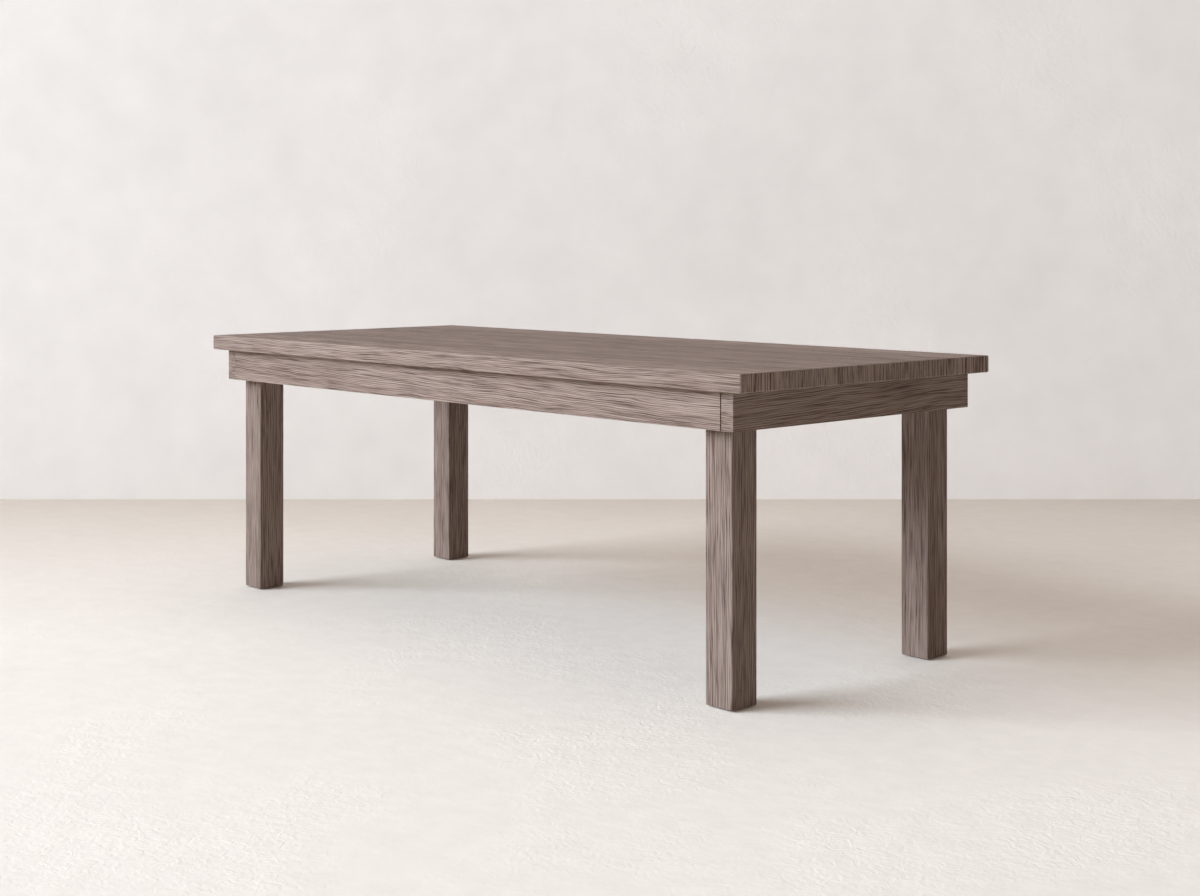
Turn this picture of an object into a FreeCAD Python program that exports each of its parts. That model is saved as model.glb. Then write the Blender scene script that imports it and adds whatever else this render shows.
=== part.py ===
"""Farmhouse dining table: a plank top on an apron frame, with square legs bolted inside its corners.

Millimetres, +Z up. The origin is on the floor under the middle of the top. X runs along the top's length, and
the front is at -Y.
"""
import FreeCAD, Part
import math
import os

import Sketcher

UP = FreeCAD.Vector(0, 0, 1)
SAME_PLACE = 1e-6

doc = FreeCAD.newDocument("FarmhouseTable")
sheet = doc.addObject("Spreadsheet::Sheet", "Sizes")

DRIVING_SIZES = (
    # Top
    ("top_length", "2134"),
    ("top_width", "914"),
    ("table_height", "750"),
    ("top_thickness", "42"),
    ("top_round", "4"),
    ("plank_count", "7"),
    # Loose splines between the planks, in grooves that stop short of the ends
    ("spline_width", "24"),
    ("spline_thickness", "6"),
    ("spline_stop", "60"),
    ("spline_clearance", "0.15"),
    # Apron frame
    ("end_overhang", "45"),
    ("side_overhang", "26"),
    ("apron_height", "88"),
    ("apron_thickness", "36"),
    ("apron_round", "1.2"),
    # Dowels through the apron corners
    ("dowel_diameter", "10"),
    ("dowel_end_depth", "22"),
    ("dowel_long_depth", "34"),
    ("dowel_spacing", "44"),
    # Cross bearers under the top
    ("bearer_thickness", "36"),
    ("bearer_height", "60"),
    ("bearer_seat", "8"),
    ("bearer_round", "2"),
    # Legs
    ("leg_width", "81"),
    ("leg_round", "2.5"),
    ("leg_corner_cut", "22"),
    # Diagonal corner blocks, drawn up to the legs by their bolts
    ("block_height", "70"),
    ("block_thickness", "26"),
    ("block_gap", "0.5"),
    ("block_drop", "4"),
    # Hanger bolts, their washers and nuts
    ("bolt_diameter", "8"),
    ("bolt_bite", "50"),
    ("bolt_tail", "3"),
    ("bolt_spacing", "34"),
    ("bolt_play", "0.5"),
    ("washer_diameter", "22"),
    ("washer_thickness", "1.6"),
    ("nut_width", "13"),
    ("nut_height", "6.5"),
    # Wood screws
    ("screw_diameter", "4.5"),
    ("screw_head_diameter", "9"),
    ("screw_head_height", "3"),
    ("screw_bite", "22"),
    ("screw_play", "0.5"),
    ("block_screw_cover", "8"),
    ("block_screw_seat", "10"),
    ("block_screw_spacing", "46"),
    ("bearer_screw_seat", "34"),
    # Steel clips between the aprons and the top
    ("clip_width", "20"),
    ("clip_gauge", "2"),
    ("clip_drop", "9"),
    ("clip_tongue", "8"),
    ("clip_pad", "22"),
    ("clip_stand_off", "0.5"),
    ("clip_slot_play", "0.5"),
    # Levelling glides: a pad that swivels on a threaded stem, and the insert that the stem turns in
    ("foot_gap", "3"),
    ("pad_diameter", "34"),
    ("pad_height", "8"),
    ("pad_chamfer", "1"),
    ("pad_floor", "2"),
    ("pad_lip", "2"),
    ("pad_clearance", "0.3"),
    ("stem_diameter", "8"),
    ("stem_length", "46"),
    ("stem_chamfer", "1"),
    ("stem_foot_diameter", "15"),
    ("stem_hexagon_width", "13"),
    ("stem_hexagon_height", "4"),
    ("swivel_clearance", "0.05"),
    ("insert_diameter", "13"),
    ("insert_length", "16"),
    # Fits and cuts
    ("hole_fit", "0.1"),
    ("tip_length", "5"),
    ("overrun", "5"),
)


class Size:
    """A number with the sheet expression that gives it, so that sums of sizes stay bound to the sheet."""

    def __init__(self, text, value):
        self.text = text
        self.value = value

    def joined(self, sign, other, value):
        return Size(f"({self.text} {sign} {other.text})", value)

    def __add__(self, other):
        other = as_size(other)
        return self.joined("+", other, self.value + other.value)

    def __sub__(self, other):
        other = as_size(other)
        return self.joined("-", other, self.value - other.value)

    def __mul__(self, other):
        other = as_size(other)
        return self.joined("*", other, self.value * other.value)

    def __truediv__(self, other):
        other = as_size(other)
        return self.joined("/", other, self.value / other.value)

    def __neg__(self):
        return ZERO - self


def as_size(number):
    return number if isinstance(number, Size) else Size(str(number), number)


class Sizes:
    """Writes the driving sizes into the sheet and gives each back under its alias."""

    def __init__(self, rows):
        for row, (alias, number) in enumerate(rows, start=1):
            sheet.set(f"A{row}", alias)
            sheet.set(f"B{row}", number)
            sheet.setAlias(f"B{row}", alias)
        doc.recompute()
        for alias, _ in rows:
            setattr(self, alias, Size(f"Sizes.{alias}", float(sheet.get(alias))))


ZERO = Size("0", 0)
ROOT_TWO = Size("sqrt(2)", math.sqrt(2))
ROOT_THREE = Size("sqrt(3)", math.sqrt(3))
size = Sizes(DRIVING_SIZES)
nodes = {}

# Shared heights and places
plank_count = int(size.plank_count.value)
plank_width = size.top_width / size.plank_count
top_underside = size.table_height - size.top_thickness
apron_underside = top_underside - size.apron_height
frame_half_length = size.top_length / 2 - size.end_overhang
frame_half_width = size.top_width / 2 - size.side_overhang
inside_half_length = frame_half_length - size.apron_thickness
inside_half_width = frame_half_width - size.apron_thickness

# Each inside corner of the apron frame has a frame of its own, a quarter turn on from the last one's
QUARTER = 90
CORNERS = ("front_left", "front_right", "back_right", "back_left")
CORNER_SIDES = ((-1, -1), (1, -1), (1, 1), (-1, 1))
DIAGONAL = FreeCAD.Vector(1, 1, 0)

# Places in the corner frame: the leg's cut corner, then the block that the bolts draw up to it
leg_cut_sum = size.leg_width * 2 - size.leg_corner_cut
block_near_sum = leg_cut_sum + size.block_gap * ROOT_TWO
block_far_sum = block_near_sum + size.block_thickness * ROOT_TWO
block_underside = top_underside - size.block_drop - size.block_height
block_screw_station = block_near_sum + size.block_screw_cover
bolt_rises = tuple(size.block_height / 2 + size.bolt_spacing * side / 2 for side in (-1, 1))
screw_rises = tuple(size.block_height / 2 + size.block_screw_spacing * side / 2 for side in (-1, 1))
dowel_rises = tuple(size.apron_height / 2 + size.dowel_spacing * side / 2 for side in (-1, 1))

# Bearers part the frame's inside evenly, and clips stand midway between bearers, and between those and blocks
bearer_positions = ("left", "middle", "right")
bearer_spacing = inside_half_length * 2 / (len(bearer_positions) + 1)
bearer_stations = (-bearer_spacing, ZERO, bearer_spacing)
bearer_screw_planks = (1, plank_count // 2, plank_count - 2)
clip_near_station = bearer_spacing / 2
clip_far_station = (bearer_spacing + inside_half_length - block_far_sum) / 2
clip_stations = (-clip_far_station, -clip_near_station, clip_near_station, clip_far_station)
end_clip_planks = (2, plank_count - 3)
clip_screw_reach = size.clip_stand_off + size.clip_gauge + (size.clip_pad - size.clip_gauge) / 2

# Heights in a glide, from the floor up: the stem's foot inside the pad, its hexagon, the insert
stem_underside = size.pad_floor + size.swivel_clearance
hexagon_underside = size.pad_height + size.pad_clearance
insert_underside = hexagon_underside + size.stem_hexagon_height + size.pad_clearance

# Radii of the holes that take each fastener
bolt_radius = size.bolt_diameter / 2
screw_radius = size.screw_diameter / 2
screw_hole_radius = screw_radius + size.hole_fit
screw_pass_radius = screw_radius + size.screw_play
screw_head_hole_radius = size.screw_head_diameter / 2 + size.screw_play
dowel_hole_radius = size.dowel_diameter / 2 + size.hole_fit
insert_bore_radius = size.stem_diameter / 2 + size.swivel_clearance


def new_body(name):
    return doc.addObject("PartDesign::Body", name)


def place(thing, x, y, z, rotation=FreeCAD.Rotation()):
    """Stands a thing, turned as given, at a point that stays bound to the sheet."""
    thing.Placement = FreeCAD.Placement(FreeCAD.Vector(), rotation)
    for axis, distance in zip("xyz", (x, y, z)):
        thing.setExpression(f"Placement.Base.{axis}", distance.text)


def turned_quarters(quarters):
    return FreeCAD.Rotation(UP, QUARTER * quarters)


def new_sketch(body, plane, at, turn):
    """A sketch on one of the body's origin planes, moved and turned in that plane's own axes."""
    sketch = body.newObject("Sketcher::SketchObject", "Sketch")
    sketch.AttachmentSupport = (next(f for f in body.Origin.OriginFeatures if f.Role == plane), "")
    sketch.MapMode = "FlatFace"
    sketch.AttachmentOffset = FreeCAD.Placement(FreeCAD.Vector(), turn)
    for axis, distance in zip("xyz", at):
        sketch.setExpression(f"AttachmentOffset.Base.{axis}", distance.text)
    return sketch


def hold_point(sketch, shape, end, x, y):
    """Holds a point of a sketched shape at a distance from both of the sketch's axes."""
    for kind, axis, distance in (("DistanceX", -2, x), ("DistanceY", -1, y)):
        if distance is ZERO:
            sketch.addConstraint(Sketcher.Constraint("PointOnObject", shape, end, axis))
        else:
            held = sketch.addConstraint(Sketcher.Constraint(kind, -1, 1, shape, end, distance.value))
            sketch.setExpression(f"Constraints[{held}]", distance.text)


def outline(body, plane, points, at=(ZERO, ZERO, ZERO), turn=FreeCAD.Rotation()):
    """A closed outline of straight lines, each corner held by its two distances."""
    sketch = new_sketch(body, plane, at, turn)
    corners = [FreeCAD.Vector(x.value, y.value, 0) for x, y in points]
    followers = [(number + 1) % len(corners) for number in range(len(corners))]
    for corner, follower in zip(corners, followers):
        sketch.addGeometry(Part.LineSegment(corner, corners[follower]), False)
    for number, follower in enumerate(followers):
        sketch.addConstraint(Sketcher.Constraint("Coincident", number, 2, follower, 1))
    for number, (x, y) in enumerate(points):
        hold_point(sketch, number, 1, x, y)
    return sketch


def rectangle(body, plane, width, height, at=(ZERO, ZERO, ZERO)):
    return outline(body, plane, ((ZERO, ZERO), (width, ZERO), (width, height), (ZERO, height)), at)


def circles(body, plane, centres, radius, at=(ZERO, ZERO, ZERO), turn=FreeCAD.Rotation()):
    """Equal circles in one sketch."""
    sketch = new_sketch(body, plane, at, turn)
    for number, (x, y) in enumerate(centres):
        sketch.addGeometry(Part.Circle(FreeCAD.Vector(x.value, y.value, 0), UP, radius.value), False)
        hold_point(sketch, number, 3, x, y)
        held = sketch.addConstraint(Sketcher.Constraint("Radius", number, radius.value))
        sketch.setExpression(f"Constraints[{held}]", radius.text)
    return sketch


def hexagon(body, width, height):
    """A hexagon round the body's upright axis, by its width across flats, at a height."""
    half = width / 2
    side = width / ROOT_THREE
    points = ((side / 2, ZERO), (side * 3 / 2, ZERO), (side * 2, half), (side * 3 / 2, half * 2),
              (side / 2, half * 2), (ZERO, half))
    return outline(body, "XY_Plane", points, (-side, -half, height))


def pad(body, sketch, length):
    feature = body.newObject("PartDesign::Pad", "Pad")
    feature.Profile = sketch
    feature.setExpression("Length", length.text)
    doc.recompute()


def pocket(body, sketch, depth, along_normal=False):
    """Cuts a sketch into the body, against the sketch's normal unless told otherwise."""
    before = body.Tip.Shape.Volume
    feature = body.newObject("PartDesign::Pocket", "Pocket")
    feature.Profile = sketch
    feature.Reversed = along_normal
    feature.setExpression("Length", depth.text)
    doc.recompute()
    if body.Tip.Shape.Volume >= before:
        raise RuntimeError(f"a pocket of {body.Label} cuts nothing")


def revolve(body, profile):
    """Turns a profile of (radius, height) points about the body's upright axis."""
    feature = body.newObject("PartDesign::Revolution", "Revolution")
    feature.Profile = outline(body, "XZ_Plane", profile)
    feature.ReferenceAxis = (feature.Profile[0], ["V_Axis"])
    doc.recompute()


def lies_at(edge, axis, distance):
    box = edge.BoundBox
    low = getattr(box, f"{axis}Min")
    high = getattr(box, f"{axis}Max")
    return abs(low - distance.value) < SAME_PLACE and abs(high - distance.value) < SAME_PLACE


def round_edges(body, radius, chosen):
    """Rounds those edges of the body so far that the test picks."""
    base = body.Tip
    names = [f"Edge{number}" for number, edge in enumerate(base.Shape.Edges, start=1) if chosen(edge)]
    feature = body.newObject("PartDesign::Fillet", "Fillet")
    feature.Base = (base, names)
    feature.setExpression("Radius", radius.text)
    doc.recompute()


def board(name, length, width, height):
    """A sawn board, from its own corner: length along X, width along Y, height along Z."""
    body = new_body(name)
    pad(body, rectangle(body, "XY_Plane", length, width), height)
    return body


def group(name, master, places):
    """Equal fasteners as separate solids of one node, each a linked copy of the master at its place."""
    copies = []
    for point, rotation in places:
        copy = doc.addObject("App::Link", f"{name}_copy")
        copy.LinkedObject = master
        place(copy, *point, rotation)
        copies.append(copy)
    nodes[name] = doc.addObject("Part::Compound", name)
    nodes[name].Links = copies


def in_corner(quarters, along, across):
    """A point of a corner's own frame, as X and Y."""
    side_x, side_y = CORNER_SIDES[quarters]
    turned = ((along, across), (-across, along), (-along, -across), (across, -along))[quarters]
    return inside_half_length * side_x + turned[0], inside_half_width * side_y + turned[1]


def plank_middle(number):
    """Y of the middle of a plank, counted from the front."""
    return plank_width * number + plank_width / 2 - size.top_width / 2


def top_screw_places(number):
    """X and Y of the screws that enter one plank from below, clips first and then bearers."""
    places = []
    clip_row = inside_half_width - clip_screw_reach
    if number == 0:
        places += [(station, -clip_row) for station in clip_stations]
    if number == plank_count - 1:
        places += [(station, clip_row) for station in clip_stations]
    if number in end_clip_planks:
        row = inside_half_length - clip_screw_reach
        places += [(-row, plank_middle(number)), (row, plank_middle(number))]
    if number in bearer_screw_planks:
        places += [(station, plank_middle(number)) for station in bearer_stations]
    return places


def make_plank(number):
    """One plank of the top: eased outer edges, stopped grooves in its joints, pilot holes below."""
    name = f"top_plank_{number + 1}"
    body = board(name, size.top_length, plank_width, size.top_thickness)
    outer_sides = [side for side, plank in ((ZERO, 0), (plank_width, plank_count - 1)) if plank == number]

    def is_outer(edge):
        at_end = any(lies_at(edge, "X", end) for end in (ZERO, size.top_length))
        level = any(lies_at(edge, "Z", height) for height in (ZERO, size.top_thickness))
        at_side = any(lies_at(edge, "Y", side) for side in outer_sides)
        return (at_end and level) or at_side

    round_edges(body, size.top_round, is_outer)
    groove_height = size.spline_thickness + size.spline_clearance * 2
    groove_depth = size.spline_width / 2 + size.spline_clearance
    groove_length = size.top_length - size.spline_stop * 2
    for side, joined in ((ZERO, number > 0), (plank_width, number < plank_count - 1)):
        if joined:
            start = (size.spline_stop, (size.top_thickness - groove_height) / 2, -side)
            groove = rectangle(body, "XZ_Plane", groove_length, groove_height, start)
            pocket(body, groove, groove_depth, along_normal=side is not ZERO)
    corner_y = plank_width * number - size.top_width / 2
    pilots = [(x + size.top_length / 2, y - corner_y) for x, y in top_screw_places(number)]
    if pilots:
        pocket(body, circles(body, "XY_Plane", pilots, screw_hole_radius), size.screw_bite, along_normal=True)
    place(body, -size.top_length / 2, corner_y, top_underside)
    nodes[name] = body


def make_spline(number):
    """A loose tongue in the grooves of two planks, with its clearance at both ends."""
    name = f"plank_spline_{number + 1}"
    length = size.top_length - size.spline_stop * 2 - size.spline_clearance * 2
    body = board(name, length, size.spline_width, size.spline_thickness)
    joint = plank_width * (number + 1) - size.top_width / 2
    middle = top_underside + size.top_thickness / 2
    place(body, -length / 2, joint - size.spline_width / 2, middle - size.spline_thickness / 2)
    nodes[name] = body


def cut_clip_slots(body, stations):
    """Slots in an apron's inner face for the clip tongues, at distances along it."""
    height = size.clip_gauge + size.clip_slot_play * 2
    width = size.clip_width + size.clip_slot_play * 2
    depth = size.clip_tongue + size.clip_slot_play
    floor = size.apron_height - size.clip_drop - size.clip_gauge - size.clip_slot_play
    for station in stations:
        start = (station - width / 2, floor, -size.apron_thickness)
        pocket(body, rectangle(body, "XZ_Plane", width, height, start), depth, along_normal=True)


def cut_block_screw_holes(body, stations):
    """Pilot holes in an apron's inner face for the corner block screws."""
    floor = block_underside - apron_underside
    centres = [(station, floor + rise) for station in stations for rise in screw_rises]
    inner_face = (ZERO, ZERO, -size.apron_thickness)
    holes = circles(body, "XZ_Plane", centres, screw_hole_radius, inner_face)
    pocket(body, holes, size.screw_bite, along_normal=True)


def make_long_apron(name, quarters):
    """Front or back apron, between the end aprons, with housings for the bearers."""
    length = inside_half_length * 2
    body = board(name, length, size.apron_thickness, size.apron_height)

    def is_eased(edge):
        outer_end = lies_at(edge, "Y", ZERO) and any(lies_at(edge, "X", end) for end in (ZERO, length))
        lower = lies_at(edge, "Z", ZERO)
        along = any(lies_at(edge, "Y", face) for face in (ZERO, size.apron_thickness))
        return outer_end or (lower and along)

    round_edges(body, size.apron_round, is_eased)
    for station in bearer_stations:
        start = (station + (length - size.bearer_thickness) / 2, size.apron_height - size.bearer_height,
                 -size.apron_thickness)
        housing = rectangle(body, "XZ_Plane", size.bearer_thickness, size.bearer_height + size.overrun, start)
        pocket(body, housing, size.bearer_seat, along_normal=True)
    cut_clip_slots(body, [station + length / 2 for station in clip_stations])
    cut_block_screw_holes(body, (block_screw_station, length - block_screw_station))
    centres = [(size.apron_thickness / 2, rise) for rise in dowel_rises]
    depth = size.dowel_long_depth + size.hole_fit
    for end in (ZERO, length):
        holes = circles(body, "YZ_Plane", centres, dowel_hole_radius, (ZERO, ZERO, end))
        pocket(body, holes, depth, along_normal=end is ZERO)
    side = 1 if quarters else -1
    place(body, inside_half_length * side, frame_half_width * side, apron_underside, turned_quarters(quarters))
    nodes[name] = body


def make_end_apron(name, quarters):
    """Left or right apron, over the whole width, lapping the ends of the long aprons."""
    length = frame_half_width * 2
    body = board(name, length, size.apron_thickness, size.apron_height)

    def is_eased(edge):
        at_end = any(lies_at(edge, "X", end) for end in (ZERO, length))
        at_face = any(lies_at(edge, "Y", face) for face in (ZERO, size.apron_thickness))
        lower = lies_at(edge, "Z", ZERO)
        return (at_end and at_face) or lower

    round_edges(body, size.apron_round, is_eased)
    cut_clip_slots(body, [plank_middle(number) + length / 2 for number in end_clip_planks])
    screw_station = size.apron_thickness + block_screw_station
    cut_block_screw_holes(body, (screw_station, length - screw_station))
    stations = (size.apron_thickness / 2, length - size.apron_thickness / 2)
    centres = [(station, rise) for station in stations for rise in dowel_rises]
    holes = circles(body, "XZ_Plane", centres, dowel_hole_radius, (ZERO, ZERO, -size.apron_thickness))
    pocket(body, holes, size.dowel_end_depth + size.hole_fit, along_normal=True)
    side = 1 if quarters == 1 else -1
    place(body, frame_half_length * side, frame_half_width * -side, apron_underside, turned_quarters(quarters))
    nodes[name] = body


def make_dowels():
    """Two dowels in each apron corner, from the end apron into the long apron's end."""
    length = size.dowel_end_depth + size.dowel_long_depth
    radius = size.dowel_diameter / 2
    master = new_body("dowel")
    revolve(master, ((ZERO, ZERO), (radius, ZERO), (radius, length), (ZERO, length)))
    middle = inside_half_width + size.apron_thickness / 2
    places = []
    for side_x, side_y in CORNER_SIDES:
        inward = FreeCAD.Rotation(UP, FreeCAD.Vector(-side_x, 0, 0))
        x = (inside_half_length + size.dowel_end_depth) * side_x
        places += [((x, middle * side_y, apron_underside + rise), inward) for rise in dowel_rises]
    group("apron_dowels", master, places)


def make_bearer(position, station):
    """A cross bearer let into both long aprons, with counterbored holes for its screws."""
    name = f"cross_bearer_{position}"
    length = (inside_half_width + size.bearer_seat) * 2
    body = board(name, size.bearer_thickness, length, size.bearer_height)

    def is_eased(edge):
        sides = (ZERO, size.bearer_thickness)
        return lies_at(edge, "Z", ZERO) and any(lies_at(edge, "X", side) for side in sides)

    round_edges(body, size.bearer_round, is_eased)
    centres = [(size.bearer_thickness / 2, plank_middle(number) + length / 2) for number in bearer_screw_planks]
    sink = circles(body, "XY_Plane", centres, screw_head_hole_radius)
    pocket(body, sink, size.bearer_height - size.bearer_screw_seat, along_normal=True)
    shank = circles(body, "XY_Plane", centres, screw_pass_radius)
    pocket(body, shank, size.bearer_height + size.overrun, along_normal=True)
    place(body, station - size.bearer_thickness / 2, -length / 2, top_underside - size.bearer_height)
    nodes[name] = body


def make_leg(corner, quarters):
    """A square leg: eased arrises, a cut inner corner for the block, bolt holes, a bored foot."""
    name = f"leg_{corner}"
    length = top_underside - size.foot_gap
    body = board(name, size.leg_width, size.leg_width, length)
    faces = (ZERO, size.leg_width)

    def is_arris(edge):
        upright = any(lies_at(edge, "X", x) and lies_at(edge, "Y", y) for x in faces for y in faces)
        return upright or lies_at(edge, "Z", ZERO)

    round_edges(body, size.leg_round, is_arris)
    reach = size.leg_width + size.overrun
    start = size.leg_width - size.leg_corner_cut - size.overrun
    corner_cut = outline(body, "XY_Plane", ((reach, start), (reach, reach), (start, reach)), (ZERO, ZERO, length))
    pocket(body, corner_cut, size.block_drop + size.block_height + size.block_gap)

    flat_middle = leg_cut_sum / 2
    holes_floor = block_underside - size.foot_gap
    centres = [(ZERO, rise) for rise in bolt_rises]
    bolt_holes = circles(body, "XZ_Plane", centres, bolt_radius + size.hole_fit,
                         (flat_middle, holes_floor, -flat_middle), facing_diagonal())
    pocket(body, bolt_holes, size.bolt_bite + size.hole_fit)

    middle = ((size.leg_width / 2, size.leg_width / 2),)
    recess = circles(body, "XY_Plane", middle, size.pad_diameter / 2 + size.pad_clearance)
    pocket(body, recess, insert_underside - size.foot_gap, along_normal=True)
    bore = circles(body, "XY_Plane", middle, size.insert_diameter / 2 + size.hole_fit)
    pocket(body, bore, stem_underside + size.stem_length - size.foot_gap + size.overrun, along_normal=True)
    place(body, *in_corner(quarters, ZERO, ZERO), size.foot_gap, turned_quarters(quarters))
    nodes[name] = body


def facing_diagonal():
    """Turns a sketch on the XZ plane about the upright, until it faces into the table along the diagonal."""
    sketch_upright = FreeCAD.Vector(0, 1, 0)
    facing = FreeCAD.Rotation(FreeCAD.Vector(0, -1, 0), DIAGONAL)
    return FreeCAD.Rotation(sketch_upright, math.degrees(facing.Angle) * facing.Axis.z)


def make_corner_block(corner, quarters):
    """A diagonal block between two aprons, with passages for the leg's bolts and its own screws."""
    name = f"corner_block_{corner}"
    body = new_body(name)
    near, far = block_near_sum, block_far_sum
    pad(body, outline(body, "XY_Plane", ((near, ZERO), (far, ZERO), (ZERO, far), (ZERO, near))), size.block_height)
    far_middle = far / 2
    bolts = circles(body, "XZ_Plane", [(ZERO, rise) for rise in bolt_rises], bolt_radius + size.bolt_play,
                    (far_middle, ZERO, -far_middle), facing_diagonal())
    pocket(body, bolts, size.block_thickness + size.overrun)
    centres = [(block_screw_station, rise) for rise in screw_rises]
    for plane, inward in (("XZ_Plane", -1), ("YZ_Plane", 1)):
        shanks = circles(body, plane, centres, screw_pass_radius)
        pocket(body, shanks, far, along_normal=inward > 0)
        seat = (ZERO, ZERO, size.block_screw_seat * inward)
        heads = circles(body, plane, centres, screw_head_hole_radius, seat)
        pocket(body, heads, far, along_normal=inward > 0)
    place(body, *in_corner(quarters, ZERO, ZERO), block_underside, turned_quarters(quarters))
    nodes[name] = body


def pointed_pin(name, radius, length):
    """A plain shank with a pointed tip, standing on its tip."""
    body = new_body(name)
    revolve(body, ((ZERO, ZERO), (radius, size.tip_length), (radius, length), (ZERO, length)))
    return body


def wood_screw(name, length):
    """A pointed shank under a flat round head, standing on its tip."""
    body = new_body(name)
    head_radius = size.screw_head_diameter / 2
    head_top = length + size.screw_head_height
    revolve(body, ((ZERO, ZERO), (screw_radius, size.tip_length), (screw_radius, length), (head_radius, length),
                   (head_radius, head_top), (ZERO, head_top)))
    return body


def make_block_screws():
    """Two screws from each end of each corner block into its apron."""
    master = wood_screw("block_screw", size.screw_bite + size.block_screw_seat)
    places = []
    for quarters in range(len(CORNERS)):
        turn = turned_quarters(quarters)
        tips = ((block_screw_station, -size.screw_bite, FreeCAD.Vector(0, 1, 0)),
                (-size.screw_bite, block_screw_station, FreeCAD.Vector(1, 0, 0)))
        for along, across, direction in tips:
            x, y = in_corner(quarters, along, across)
            rotation = turn.multiply(FreeCAD.Rotation(UP, direction))
            places += [((x, y, block_underside + rise), rotation) for rise in screw_rises]
    group("corner_block_screws", master, places)


def diagonal_places(distance_sum):
    """Both bolt places in each corner, at a distance along the diagonal given as the sum of X and Y."""
    places = []
    for quarters in range(len(CORNERS)):
        x, y = in_corner(quarters, distance_sum / 2, distance_sum / 2)
        rotation = turned_quarters(quarters).multiply(FreeCAD.Rotation(UP, DIAGONAL))
        places += [((x, y, block_underside + rise), rotation) for rise in bolt_rises]
    return places


def make_bolts():
    """Hanger bolts from the legs through the blocks, each with a washer and a hexagon nut."""
    block_side = size.block_gap + size.block_thickness
    tail = block_side + size.washer_thickness + size.nut_height + size.bolt_tail
    bolt = pointed_pin("hanger_bolt", bolt_radius, size.bolt_bite + tail)
    group("hanger_bolts", bolt, diagonal_places(leg_cut_sum - size.bolt_bite * ROOT_TWO))

    bore = bolt_radius + size.hole_fit
    washer = new_body("hanger_washer")
    rim = size.washer_diameter / 2
    thick = size.washer_thickness
    revolve(washer, ((bore, ZERO), (rim, ZERO), (rim, thick), (bore, thick)))
    group("hanger_washers", washer, diagonal_places(block_far_sum))

    nut = new_body("hanger_nut")
    pad(nut, hexagon(nut, size.nut_width, ZERO), size.nut_height)
    nut_bore = circles(nut, "XY_Plane", ((ZERO, ZERO),), bore)
    pocket(nut, nut_bore, size.nut_height, along_normal=True)
    group("hanger_nuts", nut, diagonal_places(block_far_sum + size.washer_thickness * ROOT_TWO))


def clip_places(reach, height):
    """Places along the aprons' inner faces, at a reach into the table, turned to face inward."""
    places = []
    for side, quarters in ((-1, 0), (1, 2)):
        y = (inside_half_width - reach) * side
        places += [((station, y, height), turned_quarters(quarters)) for station in clip_stations]
    for side, quarters in ((1, 1), (-1, 3)):
        x = (inside_half_length - reach) * side
        places += [((x, plank_middle(number), height), turned_quarters(quarters)) for number in end_clip_planks]
    return places


def make_clips():
    """Stepped steel clips: the tongue sits in the apron's slot, the pad is screwed up to the top."""
    master = new_body("top_clip")
    gauge = size.clip_gauge
    riser = size.clip_tongue + size.clip_stand_off
    end = riser + size.clip_pad
    top = size.clip_drop + gauge
    points = ((ZERO, ZERO), (riser + gauge, ZERO), (riser + gauge, size.clip_drop), (end, size.clip_drop),
              (end, top), (riser, top), (riser, gauge), (ZERO, gauge))
    pad(master, outline(master, "YZ_Plane", points, (-size.clip_tongue, ZERO, -size.clip_width / 2)),
        size.clip_width)
    hole = circles(master, "XY_Plane", ((ZERO, clip_screw_reach),), screw_hole_radius)
    pocket(master, hole, top, along_normal=True)
    group("top_clips", master, clip_places(ZERO, top_underside - top))
    screw = wood_screw("clip_screw", size.screw_bite + gauge)
    places = [((x, y, top_underside + size.screw_bite), FreeCAD.Rotation(UP, -UP))
              for (x, y, _), _ in clip_places(clip_screw_reach, ZERO)]
    group("top_clip_screws", screw, places)


def make_bearer_screws():
    """Screws up through each bearer into the planks."""
    master = wood_screw("bearer_screw", size.screw_bite + size.bearer_screw_seat)
    tip = top_underside + size.screw_bite
    places = [((station, plank_middle(number), tip), FreeCAD.Rotation(UP, -UP))
              for station in bearer_stations for number in bearer_screw_planks]
    group("bearer_screws", master, places)


def make_glide(corner, quarters):
    """A threaded insert in the leg's end, the stem that turns in it and the pad that the stem's foot holds."""
    foot = in_corner(quarters, size.leg_width / 2, size.leg_width / 2)
    shank = size.stem_diameter / 2

    insert = new_body(f"glide_insert_{corner}")
    rim = size.insert_diameter / 2
    bore = insert_bore_radius
    revolve(insert, ((bore, ZERO), (rim, ZERO), (rim, size.insert_length), (bore, size.insert_length)))
    place(insert, *foot, insert_underside)

    stem = new_body(f"glide_stem_{corner}")
    stem_foot = size.stem_foot_diameter / 2
    lip_underside = size.pad_height - size.pad_lip
    foot_height = lip_underside - size.pad_floor - size.swivel_clearance * 2
    revolve(stem, ((ZERO, ZERO), (stem_foot, ZERO), (stem_foot, foot_height), (shank, foot_height),
                   (shank, size.stem_length - size.stem_chamfer),
                   (shank - size.stem_chamfer, size.stem_length), (ZERO, size.stem_length)))
    pad(stem, hexagon(stem, size.stem_hexagon_width, hexagon_underside - stem_underside),
        size.stem_hexagon_height)
    place(stem, *foot, stem_underside)

    base = new_body(f"glide_pad_{corner}")
    radius = size.pad_diameter / 2
    mouth = shank + size.swivel_clearance
    socket = stem_foot + size.swivel_clearance
    revolve(base, ((ZERO, ZERO), (radius - size.pad_chamfer, ZERO), (radius, size.pad_chamfer),
                   (radius, size.pad_height), (mouth, size.pad_height), (mouth, lip_underside),
                   (socket, lip_underside), (socket, size.pad_floor), (ZERO, size.pad_floor)))
    place(base, *foot, ZERO)
    nodes.update({piece.Label: piece for piece in (insert, stem, base)})


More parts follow.
